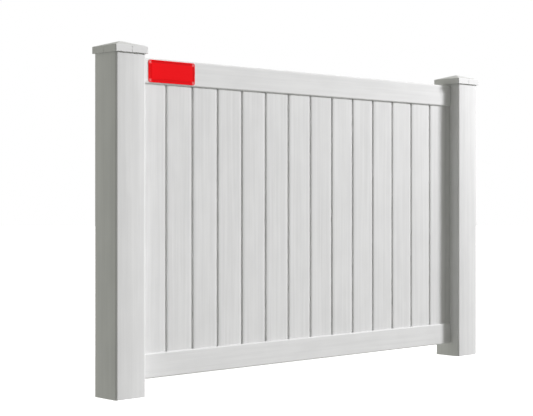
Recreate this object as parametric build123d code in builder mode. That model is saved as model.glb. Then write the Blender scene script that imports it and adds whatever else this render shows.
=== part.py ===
from build123d import *
from math import atan2, degrees
import os

# A vinyl privacy fence panel: two capped posts, two pocket rails and tongue-and-groove boards.
# Lengths are in millimetres. +X runs along the fence, the front faces -Y and +Z is up.
# The origin is on the ground, midway between the two posts.

# Overall layout
post_spacing = 1829.0  # between the post centres
ground_gap = 54.0  # ground to the underside of the bottom rail
panel_height = 1121.0  # underside of the bottom rail to the top of the top rail

# Posts: square hollow extrusions
post_width = 127.0
post_wall = 3.8
post_corner_radius = 8.0
post_inner_radius = 4.2

# Post caps: moulded shells with a straight skirt and a shallow pyramid roof
cap_gap = 8.0  # daylight between the top rail and the skirt
cap_grip = 18.0  # length of post inside the skirt
cap_seat = 6.0  # end of the post up to the top of the skirt
cap_overhang = 6.0  # skirt face beyond the post face
cap_roof_rise = 19.0
cap_tip_width = 9.0
cap_wall = 2.4
cap_corner_radius = 4.0
cap_edge = 1.6  # bevel between skirt and roof
cap_fit = 0.3  # ribs to post
cap_rib_width = 2.2
cap_rib_spacing = 72.0
cap_rib_ledge = 2.0  # rib beyond the inner face of the post wall
cap_rib_recess = 3.0  # foot of the ribs above the foot of the skirt
cap_seam_width = 1.6  # parting line in the middle of each skirt face
cap_seam_depth = 0.8

# Boards: hollow extrusions that lock edge to edge
board_count = 14
board_thickness = 22.2
board_wall = 1.7
board_bevel = 3.0
board_chambers = 4
board_headroom = 6.0  # top of the boards to the end of the top rail's pocket
joint_gap = 6.5  # open joint between the shoulders of two neighbours, with the tongue at its bottom
joint_clearance = 0.3  # tongue to the walls of its groove
tongue_grip = 8.0  # tongue inside its groove
tongue_thickness = 10.0
tongue_lead = 1.2  # bevel on the tip of the tongue

# Rails: hollow extrusions with a pocket for the ends of the boards
rail_height = 88.9
rail_wall = 2.5
rail_edge_radius = 6.0
rail_cavity = 3.15  # hollow between pocket wall and face wall
rail_lip = 4.5  # shoulder beside the mouth of the pocket
pocket_depth = 25.4
pocket_wall = 1.8
pocket_clearance = 0.5  # board faces to the pocket
mortise_clearance = 0.4  # rail to the sides and top of its mortise
tab_length = 14.0  # lock tabs that spring out behind the post wall
tab_height = 30.0
tab_proud = 2.5
tab_clearance = 0.3
rail_tail = 27.0  # rail beyond the lock tabs
drain_count = 3
drain_diameter = 8.0
drain_margin = 250.0  # first drain hole from the face of the post

# Stiffener: folded steel channel inside the bottom rail
stiffener_sheet = 1.5
stiffener_clearance = 0.4
stiffener_headroom = 6.0
stiffener_drain_margin = 3.0  # its drain holes are this much wider all round

# U-channels: hold the outer edges of the two end boards
end_gap = 14.0  # face of the post to the shoulder of the end board
channel_wall = 1.6
channel_overlap = 9.0  # channel lips over the end board
channel_clearance = 0.4  # board faces to the lips
channel_headroom = 1.0  # under the top rail
channel_lip_radius = 0.4

# Channel screws: pan heads that hold each U-channel to its post
screw_count = 3
screw_margin = 120.0  # first and last screw from the ends of the channel
screw_diameter = 4.2
screw_length = 19.0
screw_clearance = 0.1
screw_tip = 1.0  # diameter of the blunt point
head_diameter = 8.4
head_height = 2.6
head_bevel = 1.2

# Name plate: blank plate with a pressed border, on the front of the top rail
plate_width = 210.0
plate_height = 79.0
plate_thickness = 2.0
plate_corner_radius = 8.0
plate_inset = 44.0  # face of the left post to the end of the plate
plate_rim = 4.0
plate_border = 9.0
plate_border_depth = 0.7
plate_border_radius = 4.0

# Sizes and levels that follow from the ones above
half_spacing = post_spacing / 2
post_face = half_spacing - post_width / 2  # panel side of each post, from the middle of the fence
bottom_rail_top = ground_gap + rail_height
panel_top = ground_gap + panel_height
top_rail_bottom = panel_top - rail_height
skirt_bottom = panel_top + cap_gap
post_height = skirt_bottom + cap_grip
skirt_top = post_height + cap_seat
skirt_height = cap_grip + cap_seat
roof_top = skirt_top + cap_roof_rise

pocket_width = board_thickness + 2 * pocket_clearance
rail_thickness = pocket_width + 2 * (pocket_wall + rail_cavity + rail_wall)
rail_insert = post_wall + tab_clearance + tab_length + rail_tail
rail_half_length = post_face + rail_insert
chamber_width = rail_thickness - 2 * rail_wall
chamber_height = rail_height - rail_wall - pocket_depth - pocket_wall
chamber_radius = max(rail_edge_radius - rail_wall, rail_wall)

board_pitch = (2 * post_face - 2 * end_gap + joint_gap) / board_count
board_width = board_pitch - joint_gap
board_bottom = bottom_rail_top - pocket_depth
board_top = top_rail_bottom + pocket_depth - board_headroom
tongue_length = joint_gap + tongue_grip
groove_depth = tongue_grip + joint_clearance
groove_width = tongue_thickness + 2 * joint_clearance

channel_lip = end_gap + channel_overlap
channel_slot = board_thickness + 2 * channel_clearance
channel_width = channel_slot + 2 * channel_wall
channel_length = top_rail_bottom - bottom_rail_top - channel_headroom
screw_span = channel_length - 2 * screw_margin
screw_middle = bottom_rail_top + channel_length / 2

drain_span = 2 * (post_face - drain_margin)

os.makedirs("parts", exist_ok=True)


def save(builder, name):
    """Label a finished piece and write it under its own name."""
    builder.part.label = name
    export_step(builder.part, f"parts/{name}.step")


def evenly(count, span):
    """Places of count items spread over span, about its middle."""
    if count == 1:
        return [0.0]
    return [span * (index / (count - 1) - 0.5) for index in range(count)]


# Posts: a square tube with a mortise for each rail and pilot holes for the channel screws
for name, side in (("post_left", -1), ("post_right", 1)):
    with BuildPart() as post:
        with BuildSketch(Plane((side * half_spacing, 0, 0))):
            RectangleRounded(post_width, post_width, post_corner_radius)
            inner_width = post_width - 2 * post_wall
            RectangleRounded(inner_width, inner_width, post_inner_radius, mode=Mode.SUBTRACT)
        extrude(amount=post_height)
        with BuildSketch(Plane.YZ.offset(side * post_face)):
            with Locations((0, ground_gap), (0, top_rail_bottom)):
                RectangleRounded(
                    rail_thickness + 2 * mortise_clearance,
                    rail_height + mortise_clearance,
                    rail_edge_radius,
                    align=(Align.CENTER, Align.MIN),
                )
            with Locations((0, screw_middle)):
                with Locations([(0, place) for place in evenly(screw_count, screw_span)]):
                    Circle(screw_diameter / 2 + screw_clearance)
        extrude(amount=side * 2 * post_wall, mode=Mode.SUBTRACT)
    save(post, name)


# Post caps: ribs inside the skirt grip the post, and their upper ends rest on the end of the post
cap_width = post_width + 2 * cap_overhang
roof_width = cap_width - 2 * cap_edge
hollow_width = cap_width - 2 * cap_wall
socket_width = post_width + 2 * cap_fit
rib_inner = post_width / 2 - post_wall - cap_rib_ledge
rib_outer = cap_width / 2 - cap_wall / 2


def roof_taper(width):
    """Lean of the roof's faces where it closes in from width to the tip."""
    return degrees(atan2((width - cap_tip_width) / 2, cap_roof_rise))


for name, side in (("post_cap_left", -1), ("post_cap_right", 1)):
    middle = side * half_spacing

    with BuildPart() as hollow:
        with BuildSketch(Plane((middle, 0, skirt_bottom))):
            Rectangle(hollow_width, hollow_width)
        extrude(amount=skirt_height - cap_wall)
        with BuildSketch(Plane((middle, 0, skirt_top - cap_wall))):
            Rectangle(hollow_width, hollow_width)
        extrude(amount=cap_roof_rise, taper=roof_taper(hollow_width))
        with BuildSketch(Plane((middle, 0, skirt_bottom + cap_rib_recess))):
            with PolarLocations((rib_inner + rib_outer) / 2, 4):
                with Locations((0, -cap_rib_spacing / 2), (0, cap_rib_spacing / 2)):
                    Rectangle(rib_outer - rib_inner, cap_rib_width)
        extrude(amount=skirt_height + cap_roof_rise, mode=Mode.SUBTRACT)
        with BuildSketch(Plane((middle, 0, skirt_bottom))):
            RectangleRounded(socket_width, socket_width, post_corner_radius)
        extrude(amount=cap_grip)

    with BuildPart() as cap:
        with BuildSketch(Plane((middle, 0, skirt_bottom))):
            Rectangle(cap_width, cap_width)
        extrude(amount=skirt_height - cap_edge)
        with BuildSketch(Plane((middle, 0, skirt_top - cap_edge))):
            Rectangle(cap_width, cap_width)
        extrude(amount=cap_edge, taper=45)
        with BuildSketch(Plane((middle, 0, skirt_top))):
            Rectangle(roof_width, roof_width)
        extrude(amount=cap_roof_rise, taper=roof_taper(roof_width))
        with BuildSketch(Plane((middle, 0, skirt_bottom))):
            RectangleRounded(cap_width, cap_width, cap_corner_radius)
        extrude(amount=roof_top - skirt_bottom, mode=Mode.INTERSECT)
        add(hollow.part, mode=Mode.SUBTRACT)
        with BuildSketch(Plane((middle, 0, skirt_bottom))):
            with PolarLocations(cap_width / 2, 4):
                Rectangle(2 * cap_seam_depth, cap_seam_width)
        extrude(amount=skirt_height, mode=Mode.SUBTRACT)
    save(cap, name)


# Rails: pocket on one edge, main chamber on the other, lock tabs on the faces near both ends
for name, bottom, up in (("top_rail", top_rail_bottom, -1), ("bottom_rail", ground_gap, 1)):
    middle = bottom + rail_height / 2
    mouth = middle + up * rail_height / 2
    chamber_middle = middle - up * (rail_height / 2 - rail_wall - chamber_height / 2)
    cavity_height = pocket_depth - rail_lip

    with BuildPart() as rail:
        with BuildSketch(Plane.YZ.offset(-rail_half_length)):
            with Locations((0, middle)):
                RectangleRounded(rail_thickness, rail_height, rail_edge_radius)
            with Locations((0, chamber_middle)):
                RectangleRounded(chamber_width, chamber_height, chamber_radius, mode=Mode.SUBTRACT)
            with Locations((0, mouth - up * pocket_depth / 2)):
                Rectangle(pocket_width, pocket_depth, mode=Mode.SUBTRACT)
            with Locations((0, mouth - up * (rail_lip + cavity_height / 2))):
                with GridLocations(pocket_width + 2 * pocket_wall + rail_cavity, 0, 2, 1):
                    Rectangle(rail_cavity, cavity_height, mode=Mode.SUBTRACT)
        extrude(amount=2 * rail_half_length)

        for end in (-1, 1):
            tab_root = end * (post_face + post_wall + tab_clearance)
            for face in (-1, 1):
                rail_side = face * rail_thickness / 2
                with BuildSketch(Plane.XY.offset(middle - tab_height / 2)):
                    with BuildLine():
                        Polyline(
                            (tab_root, rail_side - face * rail_wall / 2),
                            (tab_root, rail_side + face * tab_proud),
                            (tab_root + end * tab_length, rail_side),
                            (tab_root + end * tab_length, rail_side - face * rail_wall / 2),
                            close=True,
                        )
                    make_face()
                extrude(amount=tab_height)

        if name == "bottom_rail":
            with BuildSketch(Plane.XY.offset(ground_gap)):
                with Locations([(place, 0) for place in evenly(drain_count, drain_span)]):
                    Circle(drain_diameter / 2)
            extrude(amount=rail_height, mode=Mode.SUBTRACT)
    save(rail, name)


# Stiffener: the folded sheet lies on the floor of the bottom rail's main chamber
with BuildPart() as stiffener:
    fold_half_width = chamber_width / 2 - stiffener_clearance - stiffener_sheet / 2
    fold_bottom = ground_gap + rail_wall + stiffener_sheet / 2
    fold_top = ground_gap + rail_wall + chamber_height - stiffener_headroom
    with BuildSketch(Plane.YZ.offset(-post_face)):
        with BuildLine() as fold:
            FilletPolyline(
                (-fold_half_width, fold_top),
                (-fold_half_width, fold_bottom),
                (fold_half_width, fold_bottom),
                (fold_half_width, fold_top),
                radius=chamber_radius,
            )
        trace(lines=fold.edges(), line_width=stiffener_sheet)
    extrude(amount=2 * post_face)
    with BuildSketch(Plane.XY.offset(ground_gap)):
        with Locations([(place, 0) for place in evenly(drain_count, drain_span)]):
            Circle(drain_diameter / 2 + stiffener_drain_margin)
    extrude(amount=rail_height, mode=Mode.SUBTRACT)
save(stiffener, "bottom_rail_stiffener")


# Boards: groove on the left edge, tongue on the right, and a shadow line where the tongue bridges each joint
chamber_start = groove_depth + board_wall
chamber_end = board_bevel + board_wall
chamber_span = board_width - chamber_start - chamber_end
chamber_pitch = (chamber_span + board_wall) / board_chambers
left_to_right = range(board_count)

for index in left_to_right:
    left = -post_face + end_gap + index * board_pitch
    right = left + board_width
    has_tongue = index < board_count - 1  # the last board is trimmed to fit its channel

    with BuildPart() as board:
        with BuildSketch(Plane.XY.offset(board_bottom)) as section:
            with Locations((left + board_width / 2, 0)):
                Rectangle(board_width, board_thickness)
            chamfer(section.vertices(), length=board_bevel)
            if has_tongue:
                with Locations((right, 0)):
                    tongue_align = (Align.MIN, Align.CENTER)
                    Rectangle(tongue_length, tongue_thickness, align=tongue_align)
                chamfer(section.vertices().group_by(Axis.X)[-1], length=tongue_lead)
                with Locations((right - board_bevel, 0)):
                    Rectangle(
                        board_bevel + tongue_length - board_wall,
                        tongue_thickness - 2 * board_wall,
                        align=tongue_align,
                        mode=Mode.SUBTRACT,
                    )
            with Locations((left, 0)):
                Rectangle(
                    groove_depth,
                    groove_width,
                    align=(Align.MIN, Align.CENTER),
                    mode=Mode.SUBTRACT,
                )
            with Locations((left + chamber_start + chamber_span / 2, 0)):
                with GridLocations(chamber_pitch, 0, board_chambers, 1):
                    Rectangle(
                        chamber_pitch - board_wall,
                        board_thickness - 2 * board_wall,
                        mode=Mode.SUBTRACT,
                    )
        extrude(amount=board_top - board_bottom)
    save(board, f"board_{index + 1:02d}")


# U-channels: web flat on the post, lips over both faces of the end board, foot on the bottom rail
for name, side in (("channel_left", -1), ("channel_right", 1)):
    with BuildPart() as channel:
        with BuildSketch(Plane.XY.offset(bottom_rail_top)) as section:
            with Locations((side * (post_face - channel_lip / 2), 0)):
                Rectangle(channel_lip, channel_width)
            with Locations((side * (post_face - channel_wall - channel_lip / 2), 0)):
                Rectangle(channel_lip, channel_slot, mode=Mode.SUBTRACT)
            lip_ends = section.vertices().sort_by(Axis.X, reverse=side < 0)[:4]
            fillet(lip_ends, radius=channel_lip_radius)
        extrude(amount=channel_length)
        with BuildSketch(Plane.YZ.offset(side * post_face)):
            with Locations((0, screw_middle)):
                with Locations([(0, place) for place in evenly(screw_count, screw_span)]):
                    Circle(screw_diameter / 2 + screw_clearance)
        extrude(amount=-side * 2 * channel_wall, mode=Mode.SUBTRACT)
    save(channel, name)


# Channel screws: each head sits on the web of the channel, each shank goes through the post wall
for name, side in (("channel_screws_left", -1), ("channel_screws_right", 1)):
    seat = side * (post_face - channel_wall)
    screw_places = [(0, screw_middle + place) for place in evenly(screw_count, screw_span)]

    with BuildPart() as screws:
        with BuildSketch(Plane.YZ.offset(seat)):
            with Locations(screw_places):
                Circle(head_diameter / 2)
        extrude(amount=-side * head_height)
        crowns = screws.edges().filter_by(GeomType.CIRCLE).group_by(Axis.X)[0 if side > 0 else -1]
        chamfer(crowns, length=head_bevel)
        with BuildSketch(Plane.YZ.offset(seat)):
            with Locations(screw_places):
                Circle(screw_diameter / 2)
        extrude(amount=side * screw_length)
        points = screws.edges().filter_by(GeomType.CIRCLE).group_by(Axis.X)[-1 if side > 0 else 0]
        chamfer(points, length=(screw_diameter - screw_tip) / 2)
    save(screws, name)


# Name plate: a trough between the rim and the middle field makes the pressed border
with BuildPart() as plate:
    plate_middle = (-post_face + plate_inset + plate_width / 2, top_rail_bottom + rail_height / 2)
    with BuildSketch(Plane.XZ.offset(rail_thickness / 2)):
        with Locations(plate_middle):
            RectangleRounded(plate_width, plate_height, plate_corner_radius)
    extrude(amount=plate_thickness)
    with BuildSketch(Plane.XZ.offset(rail_thickness / 2 + plate_thickness)):
        with Locations(plate_middle):
            trough_width = plate_width - 2 * plate_rim
            trough_height = plate_height - 2 * plate_rim
            RectangleRounded(trough_width, trough_height, plate_border_radius)
            RectangleRounded(
                trough_width - 2 * plate_border,
                trough_height - 2 * plate_border,
                plate_border_radius,
                mode=Mode.SUBTRACT,
            )
    extrude(amount=-plate_border_depth, mode=Mode.SUBTRACT)
save(plate, "name_plate")
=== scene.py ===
# %% [markdown]
# # A vinyl privacy fence panel
#
# The panel comes as a finished frame: posts, caps, rails, boards and a plate, at their real size and place.
# This lesson gives each of them the surface of the real one. White vinyl is nearly one colour, so what the
# eye reads is the rolled-in wood grain, the shadow lines between the boards, and soft light with soft
# shadows. All sizes are in metres. +X runs along the fence, the front faces -Y and +Z is up.

# %% Load the frame
import math

import bmesh
import bpy
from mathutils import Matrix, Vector


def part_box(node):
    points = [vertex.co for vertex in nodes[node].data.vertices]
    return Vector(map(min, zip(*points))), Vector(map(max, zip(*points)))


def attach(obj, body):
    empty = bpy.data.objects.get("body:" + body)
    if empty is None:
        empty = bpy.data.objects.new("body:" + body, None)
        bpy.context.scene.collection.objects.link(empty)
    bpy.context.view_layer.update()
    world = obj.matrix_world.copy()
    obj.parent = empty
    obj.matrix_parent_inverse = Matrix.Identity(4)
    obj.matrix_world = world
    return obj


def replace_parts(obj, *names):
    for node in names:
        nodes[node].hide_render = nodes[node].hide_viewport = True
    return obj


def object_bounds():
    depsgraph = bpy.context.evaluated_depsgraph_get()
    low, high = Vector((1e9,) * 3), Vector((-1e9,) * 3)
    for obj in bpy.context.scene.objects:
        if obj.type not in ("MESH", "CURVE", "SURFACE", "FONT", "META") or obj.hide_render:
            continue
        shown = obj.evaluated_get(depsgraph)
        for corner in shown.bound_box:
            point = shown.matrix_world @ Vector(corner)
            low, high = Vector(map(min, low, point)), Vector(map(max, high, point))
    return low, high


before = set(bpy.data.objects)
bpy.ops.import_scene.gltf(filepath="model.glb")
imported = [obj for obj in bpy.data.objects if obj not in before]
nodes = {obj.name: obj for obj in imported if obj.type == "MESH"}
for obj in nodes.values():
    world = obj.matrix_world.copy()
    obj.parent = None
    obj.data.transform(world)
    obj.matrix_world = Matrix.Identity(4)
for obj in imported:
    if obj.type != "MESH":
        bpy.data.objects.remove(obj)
cad_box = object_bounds()
scene = bpy.context.scene
print(len(nodes), "pieces in the frame, from", cad_box[0], "to", cad_box[1])

# %% [markdown]
# ## The camera
#
# The picture is taken from the left end, at about half the height of the panel, with a long lens. All
# upright edges are upright in it, so the camera is level. A level camera puts the horizon in the middle of
# the frame. Here it is a little higher, so the lens is shifted down by those few pixels and the camera
# isn't tilted.

# %% Camera
image_width = 533  # pixels
focal_length = 1307  # pixels
horizon_rise = 8.9  # pixels above the middle of the frame
sensor_width = 36.0  # millimetres
camera_place = (-3.6125, -3.6422, 0.682)
camera_turn = -42.92  # degrees, from straight at the fence towards its right end

lens = bpy.data.cameras.new("camera")
lens.sensor_fit = "HORIZONTAL"
lens.sensor_width = sensor_width
lens.lens = sensor_width * focal_length / image_width
lens.shift_y = -horizon_rise / image_width
camera = bpy.data.objects.new("camera", lens)
camera.location = camera_place
camera.rotation_euler = (math.radians(90), 0, math.radians(camera_turn))
scene.collection.objects.link(camera)
scene.camera = camera
scene.view_settings.view_transform = "Standard"
print("a lens of", round(lens.lens, 1), "mm at", camera.location)

# %% [markdown]
# ## Arithmetic on sockets
#
# Grain, spangle and pressed borders are all small formulas. Written node by node they are hard to read, so
# one small class wraps an output socket and lets Python's own operators add the Math nodes. Its method
# `add` puts any other node on the same sheet. It serves materials and Geometry Nodes alike, because both
# use the same Math node.

# %% The wire class
class Wire:
    """One output socket. Arithmetic on wires adds the Math nodes that work it out."""

    def __init__(self, socket):
        self.socket = socket

    def add(self, kind, settings=None, inputs=None, output=0):
        """Put any node on the same sheet: its settings first, then the values or wires of its sockets."""
        tree = self.socket.id_data
        node = tree.nodes.new(kind)
        for name, value in (settings or {}).items():
            setattr(node, name, value)
        for key, value in (inputs or {}).items():
            for item in value if isinstance(value, list) else [value]:
                if isinstance(item, Wire):
                    tree.links.new(item.socket, node.inputs[key])
                else:
                    node.inputs[key].default_value = item
        return Wire(node.outputs[output])

    def split(self):
        """The X, Y and Z of a vector, as three wires."""
        first = self.add("ShaderNodeSeparateXYZ", inputs={0: self})
        return [Wire(socket) for socket in first.socket.node.outputs]

    def math(self, operation, *values):
        return self.add("ShaderNodeMath", {"operation": operation}, dict(enumerate(values)))

    def __add__(self, other):
        return self.math("ADD", self, other)

    def __radd__(self, other):
        return self.math("ADD", other, self)

    def __sub__(self, other):
        return self.math("SUBTRACT", self, other)

    def __rsub__(self, other):
        return self.math("SUBTRACT", other, self)

    def __mul__(self, other):
        return self.math("MULTIPLY", self, other)

    def __rmul__(self, other):
        return self.math("MULTIPLY", other, self)

    def __truediv__(self, other):
        return self.math("DIVIDE", self, other)

    def __gt__(self, other):
        return self.math("GREATER_THAN", self, other)

    def __abs__(self):
        return self.math("ABSOLUTE", self)

    def ramp(self, low, high):
        """0 below low, 1 above high, and smooth between them."""
        return self.add(
            "ShaderNodeMapRange",
            {"interpolation_type": "SMOOTHSTEP"},
            {"Value": self, "From Min": low, "From Max": high},
        )

    def colour(self, first, second):
        """A colour that goes from first to second as this value goes from 0 to 1."""
        return self.add("ShaderNodeMix", {"data_type": "RGBA"}, {0: self, 6: first, 7: second}, output=2)


print("wires take + - * / > and abs()")

# %% [markdown]
# ## The stage
#
# The panel stands on a bright sweep, as in a catalogue. The floor is a light table: it glows a little, so
# the key light's shadow on it stays pale, and a white dome closes the scene on every side. Both are there
# for the camera alone. If they also lit the panel, its shaded sides would wash out, so diffuse rays don't
# see them.

# %% Floor and dome
floor_size = 60.0
dome_radius = 28.0


def stage_piece(name, fill, **sizes):
    """A mesh on the stage that only the camera sees, from one of the operators that fill an empty mesh."""
    shape = bmesh.new()
    fill(shape, **sizes)
    mesh = bpy.data.meshes.new(name)
    shape.to_mesh(mesh)
    shape.free()
    piece = bpy.data.objects.new(name, mesh)
    piece.visible_diffuse = False
    piece.visible_glossy = False
    piece.visible_shadow = False
    scene.collection.objects.link(piece)
    return piece


def stage_finish(name, base, glow):
    """A pale surface that gives off some light of its own."""
    material = bpy.data.materials.new(name)
    material.use_nodes = True
    shader = material.node_tree.nodes["Principled BSDF"]
    shader.inputs["Base Color"].default_value = (base, base, base, 1)
    shader.inputs["Roughness"].default_value = 1.0
    shader.inputs["Specular IOR Level"].default_value = 0.0
    shader.inputs["Emission Color"].default_value = (1, 1, 1, 1)
    shader.inputs["Emission Strength"].default_value = glow
    return material


floor = stage_piece("floor", bmesh.ops.create_grid, x_segments=2, y_segments=2, size=floor_size / 2)
floor.data.materials.append(stage_finish("light table", base=0.85, glow=0.96))
dome = stage_piece("dome", bmesh.ops.create_icosphere, subdivisions=5, radius=dome_radius)
dome.data.materials.append(stage_finish("white dome", base=0.0, glow=1.0))
print("floor and dome are stage")

# %% [markdown]
# ## The light
#
# The shadow of the right post on the last board tells where the key light is: to the right, in front and
# above. Its edge is soft, so the key is wide, and both ends of the fence get the same of it, so it is far
# away: a sun lamp with a wide disc is just that. The top right corner is brighter than the rest, which
# takes a small soft box close by.
#
# The room does the rest. Each of its sides glows with its own strength and fades smoothly into the next.
# The wall behind lights the back of the fence and its shaded left sides, the ceiling lights the roofs of
# the caps, and the pale floor lights the undersides. The floor also makes the walls brighter below than
# above.

# %% Key, accent and room
key_power = 2.91
key_place = (6.8, -5.1, 4.2)
key_disc = 14  # degrees
accent_power = 9.6
accent_place = (1.78, -0.95, 1.82)
accent_size = 0.5
lamp_tint = (1.0, 0.993, 1.014)
fill_right = 0.12
fill_front = 0.03
fill_back = 0.67
fill_floor = 0.5
fill_top = 0.43
fill_tint = (0.985, 1.0, 0.915)
floor_share = 0.5  # of the walls' light, gained towards the floor and lost towards the ceiling
halfway = 0.7  # along X and along -Y, for the side between the right and the front
panel_middle = (cad_box[0] + cad_box[1]) / 2


def lamp(kind, place, power):
    """A lamp that points at the middle of the panel and stays out of the picture."""
    data = bpy.data.lights.new(kind.lower(), kind)
    data.energy = power
    data.color = lamp_tint
    box = bpy.data.objects.new(data.name, data)
    box.location = place
    box.rotation_euler = (panel_middle - box.location).to_track_quat("-Z", "Y").to_euler()
    box.visible_camera = False
    scene.collection.objects.link(box)
    return data


key = lamp("SUN", key_place, key_power)
key.angle = math.radians(key_disc)
accent = lamp("AREA", accent_place, accent_power)
accent.shape = "DISK"
accent.size = accent_size

world = bpy.data.worlds.new("studio")
world.use_nodes = True
scene.world = world
x, y, z = Wire(world.node_tree.nodes.new("ShaderNodeTexCoord").outputs["Generated"]).split()


def from_side(way, strength):
    """Light from one side of the room, which fades towards the other sides."""
    return strength * way.math("MAXIMUM", way, 0.0)


plain = from_side(halfway * x - halfway * y, fill_right)
wall_fade = 1 - floor_share * z
walls = wall_fade * (from_side(0 - y, fill_front) + from_side(y, fill_back))
tinted = from_side(0 - z, fill_floor) + from_side(z, fill_top) + walls
channels = {number: plain + tinted * tint for number, tint in enumerate(fill_tint)}
room = x.add("ShaderNodeCombineXYZ", inputs=channels)
world.node_tree.links.new(room.socket, world.node_tree.nodes["Background"].inputs["Color"])
print("lit by a", key.name, "lamp, an", accent.name, "lamp and the room")

# %% [markdown]
# ## Embossed vinyl
#
# The posts, rails and boards are extruded and then run under a hot roller that presses a wood grain into
# them. The grain always runs along the piece, so the same pattern is stretched along Z on posts and boards
# and along X on rails. It could be painted as a picture, but noise that is stretched by a Mapping node
# never repeats and needs no unwrapping. The broad streaks are shallow waves in the surface. Thin pores
# break them up. The colour is darker where the streaks are low, as painted shade in the hollows of the
# grain, and it also changes in random cloudy patches.
#
# A hollow square bulges slightly as it cools, which is why the light changes from one edge of a post to the
# other. The posts get that bulge in their shading alone, so their outline stays as it is.

# %% The vinyl finish
fibre_depth = 0.00001
pore_depth = 0.00001
# Painted shade: how bright the colour is in the hollows of the grain.
hollow_shade_tone = 0.93  # brightness in the hollows of the grain
post_bulge = 0.0026  # from the middle line of a face to its edges


def new_finish(name):
    """A new material, with its shader and the wire of its object coordinates."""
    material = bpy.data.materials.new(name)
    material.use_nodes = True
    sheet = material.node_tree
    place = Wire(sheet.nodes.new("ShaderNodeTexCoord").outputs["Object"])
    return material, sheet.nodes["Principled BSDF"], place


def plug(shader, **wires):
    """Link wires to the shader's sockets, named with _ for a space."""
    for name, wire in wires.items():
        shader.id_data.links.new(wire.socket, shader.inputs[name.replace("_", " ")])


def stretched_noise(place, scale, detail, roughness):
    """Noise whose cells are 1/scale metres long in each direction."""
    moved = place.add("ShaderNodeMapping", inputs={"Vector": place, "Scale": scale})
    return moved.add(
        "ShaderNodeTexNoise",
        inputs={"Vector": moved, "Scale": 1.0, "Detail": detail, "Roughness": roughness},
    )


def bumped(height):
    """A bent normal from a height in metres."""
    return height.add("ShaderNodeBump", inputs={"Strength": 1.0, "Distance": 1.0, "Height": height})


def embossed_vinyl(name, along, streak_depth, white, crown=None):
    """White vinyl with a wood grain that runs along the axis of that number."""
    def scale(across, lengthwise):
        return tuple(lengthwise if axis == along else across for axis in range(3))

    material, shader, place = new_finish(name)
    streaks = stretched_noise(place, scale(60, 1.8), detail=1.5, roughness=0.6)
    fibres = stretched_noise(place, scale(300, 6), detail=2.0, roughness=0.6)
    pores = stretched_noise(place, scale(950, 38), detail=1.0, roughness=0.5).ramp(0.60, 0.72)
    clouds = stretched_noise(place, scale(14, 7), detail=2.0, roughness=0.5)
    height = streaks * streak_depth + fibres * fibre_depth - pores * pore_depth
    if crown:
        height = height - crown(place)
    # Painted shade: the colour darkens where the streaks and fibres are low, and the clouds add random
    # tone.
    tone = (0.45 * streaks + 0.2 * fibres + 0.35 * clouds).ramp(0.36, 0.64)
    darker_white = white * hollow_shade_tone
    plug(
        shader,
        Base_Color=tone.colour((darker_white, darker_white, darker_white, 1), (white, white, white, 1)),
        Roughness=0.80 - 0.12 * fibres + 0.10 * pores,
        Normal=bumped(height),
    )
    return material


post_low, post_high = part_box("post_left")
post_middle = (post_low + post_high) / 2
post_half = (post_high - post_low) / 2


def post_crown(place):
    """How far each face of a post falls off from its middle line."""
    x, y, _ = place.split()
    across = (abs(x) + post_middle.x) / post_half.x
    through = (y - post_middle.y) / post_half.y
    return post_bulge * (across * across + through * through)


post_vinyl = embossed_vinyl("post vinyl", along=2, streak_depth=0.0002, white=0.82, crown=post_crown)
rail_vinyl = embossed_vinyl("rail vinyl", along=0, streak_depth=0.0004, white=0.815)
board_vinyl = embossed_vinyl("board vinyl", along=2, streak_depth=0.0001, white=0.80)
print("three vinyls, with grain along the piece")

# %% [markdown]
# ## Boards
#
# Fourteen boards stand side by side, each with a groove on its left edge and a tongue on its right. A die
# in the extruder gives them all one section, so the honest way to make them is to draw that section once
# and pull it along a line. In that section the edges are rounded, and the faces fall away a little towards
# them, so the right edge of each board catches the key light.
#
# Geometry Nodes does the pulling, closes both ends, sets a copy at each pitch and then presses the broad
# grain into both faces, with another piece of noise for each board. The last board has lost its tongue,
# because it was trimmed to fit, so it gets a section of its own and the same tree.

# %% The section of a board
board_low, board_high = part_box("board_01")
next_low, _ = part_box("board_02")
last_low, last_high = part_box("board_14")
board_pitch = next_low.x - board_low.x
board_width = last_high.x - last_low.x
half_thick = (board_high.y - board_low.y) / 2
tongue_reach = board_high.x - board_low.x - board_width
board_wall = 0.0017
edge_radius = 0.0035
edge_reach = 0.009  # width of the strip in which a face falls away
edge_drop = 0.0007  # how far it falls
groove_depth = 0.0083
groove_half = 0.0053
tongue_half = 0.005
tongue_lead = 0.0012
chamber_count = 4
face_columns = 50
edge_steps = 5
print("boards are", round(board_width * 1000, 1), "mm wide, one each", round(board_pitch * 1000, 1), "mm")


def points_between(start, end, count):
    """Evenly spaced points from start up to, but not including, end."""
    return [start + (end - start) * step / count for step in range(count)]


def rounded_edge(middle, start):
    """A quarter turn, anticlockwise, that rounds off one corner of the section."""
    turns = [math.radians(start + 90 * step / edge_steps) for step in range(edge_steps + 1)]
    return [middle + edge_radius * Vector((math.cos(turn), math.sin(turn))) for turn in turns]


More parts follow.
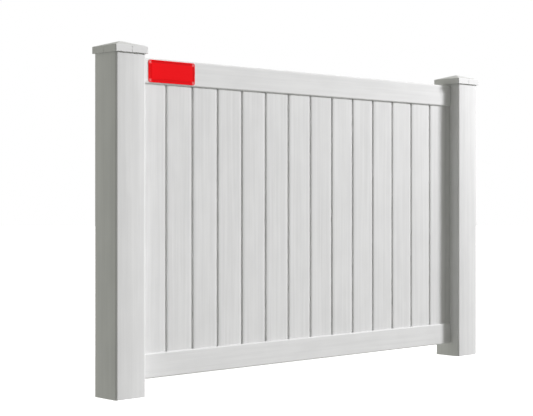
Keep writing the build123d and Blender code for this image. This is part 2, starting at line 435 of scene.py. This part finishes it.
def board_outline(left, has_tongue):
    """The outside of the section, anticlockwise, with fine steps on both faces for the grain."""
    right = left + board_width
    near = left + edge_radius
    far = right - edge_radius
    inner = half_thick - edge_drop - edge_radius

    def face(start, end, side):
        steps = points_between(start, end, face_columns)
        sags = [max(0, 1 - min(x - near, far - x) / edge_reach) ** 2 * edge_drop for x in steps]
        return [Vector((x, side * (half_thick - sag))) for x, sag in zip(steps, sags)]

    outline = face(near, far, -1)
    outline += rounded_edge(Vector((far, -inner)), -90)
    if has_tongue:
        tip = right + tongue_reach
        shoulder = tip - tongue_lead
        lower = [(right, -tongue_half), (shoulder, -tongue_half), (tip, tongue_lead - tongue_half)]
        outline += [Vector(point) for point in lower]
        outline += [Vector((x, -y)) for x, y in reversed(lower)]
    outline += rounded_edge(Vector((far, inner)), 0)[:-1]
    outline += face(far, near, 1)
    outline += rounded_edge(Vector((near, inner)), 90)
    groove_end = left + groove_depth
    outline += [Vector((left, groove_half)), Vector((groove_end, groove_half))]
    outline += [Vector((groove_end, -groove_half)), Vector((left, -groove_half))]
    outline += rounded_edge(Vector((near, -inner)), 180)[:-1]
    return outline


def chamber_outlines(left, has_tongue):
    """The hollows inside the section, clockwise."""
    start = left + groove_depth + board_wall
    end = left + board_width - edge_radius - board_wall
    pitch = (end - start + board_wall) / chamber_count
    spans = []
    for number in range(chamber_count):
        spans.append((start + number * pitch, start + (number + 1) * pitch - board_wall, half_thick))
    if has_tongue:
        spans.append((end + board_wall, left + board_width + tongue_reach - board_wall, tongue_half))
    hollows = []
    for x0, x1, half in spans:
        y = half - board_wall
        hollows.append([Vector((x0, -y)), Vector((x0, y)), Vector((x1, y)), Vector((x1, -y))])
    return hollows


def section_curve(name, loops):
    """A curve object with one closed spline for each loop."""
    data = bpy.data.curves.new(name, "CURVE")
    data.dimensions = "3D"
    for loop in loops:
        spline = data.splines.new("POLY")
        spline.points.add(len(loop) - 1)
        for point, place in zip(spline.points, loop):
            point.co = (place.x, place.y, 0, 1)
        spline.use_cyclic_u = True
    curve = bpy.data.objects.new(name, data)
    scene.collection.objects.link(curve)
    return curve


# %% The tree that extrudes the boards
weld_distance = 0.00001
face_depth = 0.0012  # a point no deeper than this under the middle of a face belongs to that face
bare_edge = 0.004  # from the edge to where the grain begins
grain_edge = 0.018  # from the edge to where the grain has its full depth
side_shift = 5.3  # in the noise, from the middle of a board to each of its faces
board_shift = 7.31  # in the noise, from one board to the next


def extruder_tree():
    """Geometry Nodes that pull a section upwards, repeat it along X and emboss its two faces."""
    tree = bpy.data.node_groups.new("board extruder", "GeometryNodeTree")
    kinds = {
        "Section": "Object", "Foot": "Float", "Length": "Float", "Rows": "Int", "Count": "Int",
        "Left": "Float", "Pitch": "Float", "Width": "Float", "Half Thickness": "Float",
        "Grain Depth": "Float", "Grain Width": "Float", "Grain Length": "Float", "Seed": "Float",
        "Finish": "Material",
    }
    for name, kind in kinds.items():
        tree.interface.new_socket(name, in_out="INPUT", socket_type="NodeSocket" + kind)
    tree.interface.new_socket("Boards", in_out="OUTPUT", socket_type="NodeSocketGeometry")
    inlet = tree.nodes.new("NodeGroupInput")
    ask = {name: Wire(inlet.outputs[name]) for name in kinds}

    foot = ask["Foot"]
    section = foot.add("GeometryNodeObjectInfo", inputs={"Object": ask["Section"]}, output="Geometry")
    low = foot.add("ShaderNodeCombineXYZ", inputs={"Z": foot})
    high = foot.add("ShaderNodeCombineXYZ", inputs={"Z": foot + ask["Length"]})
    line = foot.add("GeometryNodeCurvePrimitiveLine", inputs={"Start": low, "End": high})
    path = line.add("GeometryNodeResampleCurve", inputs={"Curve": line, "Count": ask["Rows"]})
    walls = path.add("GeometryNodeCurveToMesh", inputs={"Curve": path, "Profile Curve": section})
    lid = section.add("GeometryNodeFillCurve", inputs={"Curve": section})
    sole = lid.add("GeometryNodeFlipFaces", inputs={"Mesh": lid})
    ends = [
        lid.add("GeometryNodeTransform", inputs={"Geometry": part, "Translation": place})
        for part, place in ((lid, high), (sole, low))
    ]
    board = walls.add("GeometryNodeJoinGeometry", inputs={"Geometry": [walls, *ends]})
    board = board.add("GeometryNodeMergeByDistance", inputs={"Geometry": board, "Distance": weld_distance})

    step = foot.add("ShaderNodeCombineXYZ", inputs={"X": ask["Pitch"]})
    row = foot.add("GeometryNodeMeshLine", inputs={"Count": ask["Count"], "Offset": step})
    copies = row.add("GeometryNodeInstanceOnPoints", inputs={"Points": row, "Instance": board})
    number = Wire(tree.nodes.new("GeometryNodeInputIndex").outputs[0])
    copies = copies.add(
        "GeometryNodeStoreNamedAttribute",
        {"data_type": "FLOAT", "domain": "INSTANCE"},
        {"Geometry": copies, "Name": "board", "Value": number + ask["Seed"]},
    )
    fence = copies.add("GeometryNodeRealizeInstances", inputs={"Geometry": copies})

    x, y, z = Wire(tree.nodes.new("GeometryNodeInputPosition").outputs[0]).split()
    which = foot.add("GeometryNodeInputNamedAttribute", {"data_type": "FLOAT"}, {"Name": "board"})
    side = y.math("SIGN", y)
    spot = x.add(
        "ShaderNodeCombineXYZ",
        inputs={"X": x / ask["Grain Width"], "Y": side * side_shift, "Z": z / ask["Grain Length"]},
    )
    grain = spot.add(
        "ShaderNodeTexNoise",
        {"noise_dimensions": "4D"},
        {"Vector": spot, "W": which * board_shift, "Scale": 1.0, "Detail": 1.5, "Roughness": 0.6},
    )
    across = x.math("FLOORED_MODULO", x - ask["Left"], ask["Pitch"])
    from_edge = across.math("MINIMUM", across, ask["Width"] - across)
    on_face = (abs(y) > ask["Half Thickness"] - face_depth) * from_edge.ramp(bare_edge, grain_edge)
    outwards = side * on_face * (grain - 0.5) * ask["Grain Depth"]
    press = x.add("ShaderNodeCombineXYZ", inputs={"Y": outwards})
    fence = fence.add("GeometryNodeSetPosition", inputs={"Geometry": fence, "Offset": press})
    fence = fence.add("GeometryNodeSetMaterial", inputs={"Geometry": fence, "Material": ask["Finish"]})
    outlet = tree.nodes.new("NodeGroupOutput")
    tree.links.new(fence.socket, outlet.inputs["Boards"])
    return tree


board_extruder = extruder_tree()
print("the extruder has", len(board_extruder.nodes), "nodes")

# %% Run the tree
board_rows = 34
grain_depth = 0.0009
grain_width = 0.016
grain_length = 0.55
board_crease = 25  # degrees


def settled(name, carrier):
    """A plain mesh object from a carrier and its modifiers. The carrier goes."""
    graph = bpy.context.evaluated_depsgraph_get()
    mesh = bpy.data.meshes.new_from_object(carrier.evaluated_get(graph), depsgraph=graph)
    carrier.modifiers.clear()
    bpy.data.objects.remove(carrier)
    mesh.name = name
    piece = bpy.data.objects.new(name, mesh)
    scene.collection.objects.link(piece)
    return piece


def grown(name, tree, **settings):
    """A plain mesh object from a tree and its settings."""
    carrier = bpy.data.objects.new(name + " carrier", bpy.data.meshes.new(name + " carrier"))
    scene.collection.objects.link(carrier)
    modifier = carrier.modifiers.new(name, "NODES")
    modifier.node_group = tree
    for item in tree.interface.items_tree:
        if item.in_out == "INPUT":
            modifier[item.identifier] = settings[item.name.replace(" ", "_")]
    return settled(name, carrier)


def eased(piece, crease):
    """Shade a piece smooth, but keep edges that turn by more than crease degrees."""
    piece.data.polygons.foreach_set("use_smooth", [True] * len(piece.data.polygons))
    piece.data.set_sharp_from_angle(angle=math.radians(crease))
    return piece


def board_set(name, first, count, has_tongue, seed):
    """Some boards in a row, from the one whose node is called first."""
    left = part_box(first)[0].x
    loops = [board_outline(left, has_tongue), *chamber_outlines(left, has_tongue)]
    section = section_curve(name + " section", loops)
    piece = grown(
        name, board_extruder, Section=section, Foot=board_low.z, Length=board_high.z - board_low.z,
        Rows=board_rows, Count=count, Left=left, Pitch=board_pitch, Width=board_width,
        Half_Thickness=half_thick, Grain_Depth=grain_depth, Grain_Width=grain_width,
        Grain_Length=grain_length, Seed=seed, Finish=board_vinyl,
    )
    bpy.data.objects.remove(section)
    return eased(piece, board_crease)


boards = board_set("boards", "board_01", count=13, has_tongue=True, seed=0.0)
end_board = board_set("end_board", "board_14", count=1, has_tongue=False, seed=13.0)
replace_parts(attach(boards, "root"), *[f"board_{number:02d}" for number in range(1, 14)])
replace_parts(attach(end_board, "root"), "board_14")
for piece in (boards, end_board):
    print(piece.name, "has", len(piece.data.polygons), "faces")

# %% [markdown]
# ## Posts, rails and channels
#
# These extrusions have their true section in the frame already, with mortises, lock tabs and pockets, so
# their meshes stay. They only need the vinyl, with the grain upright on posts and level on rails. The two
# U-channels are hidden trim that never sees the roller, so they stay smooth.

# %% Smooth vinyl, and where each vinyl goes
ripple_depth = 0.00003
cloud_tone = 0.97  # brightness in the darker patches


def moulded_vinyl(name, white, roughness):
    """Smooth vinyl with the faint ripple that a polished mould or die leaves."""
    material, shader, place = new_finish(name)
    ripple = stretched_noise(place, (260, 260, 260), detail=2.0, roughness=0.5)
    cloud = stretched_noise(place, (22, 22, 22), detail=2.0, roughness=0.5).ramp(0.3, 0.7)
    darker_white = white * cloud_tone
    plug(
        shader,
        Base_Color=cloud.colour((darker_white, darker_white, darker_white, 1), (white, white, white, 1)),
        Roughness=roughness + 0.08 * cloud,
        Normal=bumped(ripple * ripple_depth),
    )
    return material


def dress(finish, *names):
    """Give CAD pieces a finish."""
    for name in names:
        for slot in nodes[name].material_slots:
            slot.material = finish


channel_vinyl = moulded_vinyl("channel vinyl", white=0.78, roughness=0.40)
cap_vinyl = moulded_vinyl("cap vinyl", white=0.785, roughness=0.5)
dress(post_vinyl, "post_left", "post_right")
dress(rail_vinyl, "top_rail", "bottom_rail")
dress(channel_vinyl, "channel_left", "channel_right")
print("posts, rails and channels are dressed")

# %% [markdown]
# ## Caps
#
# The caps are injection moulded, and nothing that leaves a mould has sharp edges. A bevel on the frame's
# own mesh rounds the eaves, the hips of the roof and the lips of the parting line, so they catch a thin
# highlight. The mesh comes as loose triangles, so it is welded first, and flat faces are made whole before
# their edges are rounded.

# %% Rounded edges
cap_edge_radius = 0.00035
weld_threshold = 0.000001
flat_turn = 1  # degrees: faces that differ by less are one
edge_turn = 18  # degrees: edges that turn by more are rounded


def softened(name, node, radius, finish):
    """A copy of a CAD piece with rounded edges, in place of that piece."""
    carrier = bpy.data.objects.new(name + " carrier", nodes[node].data.copy())
    scene.collection.objects.link(carrier)
    carrier.data.polygons.foreach_set("use_smooth", [True] * len(carrier.data.polygons))
    carrier.modifiers.new("weld", "WELD").merge_threshold = weld_threshold
    whole = carrier.modifiers.new("whole", "DECIMATE")
    whole.decimate_type = "DISSOLVE"
    whole.angle_limit = math.radians(flat_turn)
    bevel = carrier.modifiers.new("bevel", "BEVEL")
    bevel.limit_method = "ANGLE"
    bevel.angle_limit = math.radians(edge_turn)
    bevel.width = radius
    bevel.segments = 3
    bevel.use_clamp_overlap = False
    carrier.modifiers.new("flats", "WEIGHTED_NORMAL").weight = 100
    piece = settled(name, carrier)
    piece.data.materials.clear()
    piece.data.materials.append(finish)
    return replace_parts(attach(piece, "root"), node)


for side in ("left", "right"):
    cap = softened("cap_" + side, "post_cap_" + side, cap_edge_radius, cap_vinyl)
    print(cap.name, "has", len(cap.data.polygons), "faces")

# %% [markdown]
# ## Steel that stays out of sight
#
# A galvanised channel stiffens the bottom rail, and zinc-plated screws hold the U-channels. They are hidden
# once the panel stands, but they show when it comes apart. Hot zinc freezes in patches, the spangle, and
# each patch reflects a little differently: Voronoi cells are just such patches.

# %% Galvanised and zinc-plated steel
dark_zinc = (0.46, 0.48, 0.50, 1)
bright_zinc = (0.66, 0.68, 0.70, 1)


def zinc(name, patch, roughness):
    """Zinc on steel, with patches of about that size."""
    material, shader, place = new_finish(name)
    cells = place.add(
        "ShaderNodeTexVoronoi",
        inputs={"Vector": place, "Scale": 1 / patch, "Randomness": 1.0},
        output="Color",
    )
    tone = cells.split()[0]
    scuff = stretched_noise(place, (60, 60, 60), detail=3.0, roughness=0.6)
    shader.inputs["Metallic"].default_value = 1.0
    plug(
        shader,
        Base_Color=(0.7 * tone + 0.3 * scuff).colour(dark_zinc, bright_zinc),
        Roughness=roughness + 0.16 * tone - 0.06 * scuff,
    )
    return material


dress(zinc("galvanised sheet", patch=0.012, roughness=0.38), "bottom_rail_stiffener")
dress(zinc("zinc plate", patch=0.0016, roughness=0.24), "channel_screws_left", "channel_screws_right")
print("stiffener and screws are dressed")

# %% [markdown]
# ## The plate
#
# A thin red plate sits on the left end of the top rail. It is blank, and its red is made darker in the band
# of its pressed border.
# Where the border turns the corners, a pale pink is painted on as a highlight.

# %% Red enamel
field_red = (0.985, 0.002, 0.006, 1)
border_red = (0.82, 0.003, 0.006, 1)
# Painted highlight: the pale pink at the corners of the border.
corner_highlight_red = (0.95, 0.22, 0.23, 1)
border_start = (0.003, 0.005)  # from the edge of the plate
border_end = (0.010, 0.012)
border_middle = 0.007
corner_highlight_reach = (0.001, 0.008)  # from the middle of the border's turn
peel_depth = 0.00002
plate_gloss = 0.035
plate_edge_radius = 0.0005
plate_low, plate_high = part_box("name_plate")
plate_middle = (plate_low + plate_high) / 2
plate_half = (plate_high - plate_low) / 2


def red_enamel():
    """Red enamel that is darker in the pressed border."""
    material, shader, place = new_finish("red enamel")
    x, _, z = place.split()
    from_end = plate_half.x - abs(x - plate_middle.x)
    from_edge = plate_half.z - abs(z - plate_middle.z)
    inset = from_end.math("MINIMUM", from_end, from_edge)
    border = inset.ramp(*border_start) * (1 - inset.ramp(*border_end))
    turn = from_end.math("MAXIMUM", abs(from_end - border_middle), abs(from_edge - border_middle))
    # Painted highlight where the border turns each corner.
    corner = 1 - turn.ramp(*corner_highlight_reach)
    peel = stretched_noise(place, (420, 420, 420), detail=2.0, roughness=0.5)
    shader.inputs["Specular IOR Level"].default_value = plate_gloss
    plug(
        shader,
        Base_Color=corner.colour(border.colour(field_red, border_red), corner_highlight_red),
        Roughness=0.42 + 0.1 * peel,
        Normal=bumped(peel * peel_depth),
    )
    return material


plate = softened("plate", "name_plate", plate_edge_radius, red_enamel())
print("plate is", round(plate_half.x * 2000), "by", round(plate_half.z * 2000), "mm")
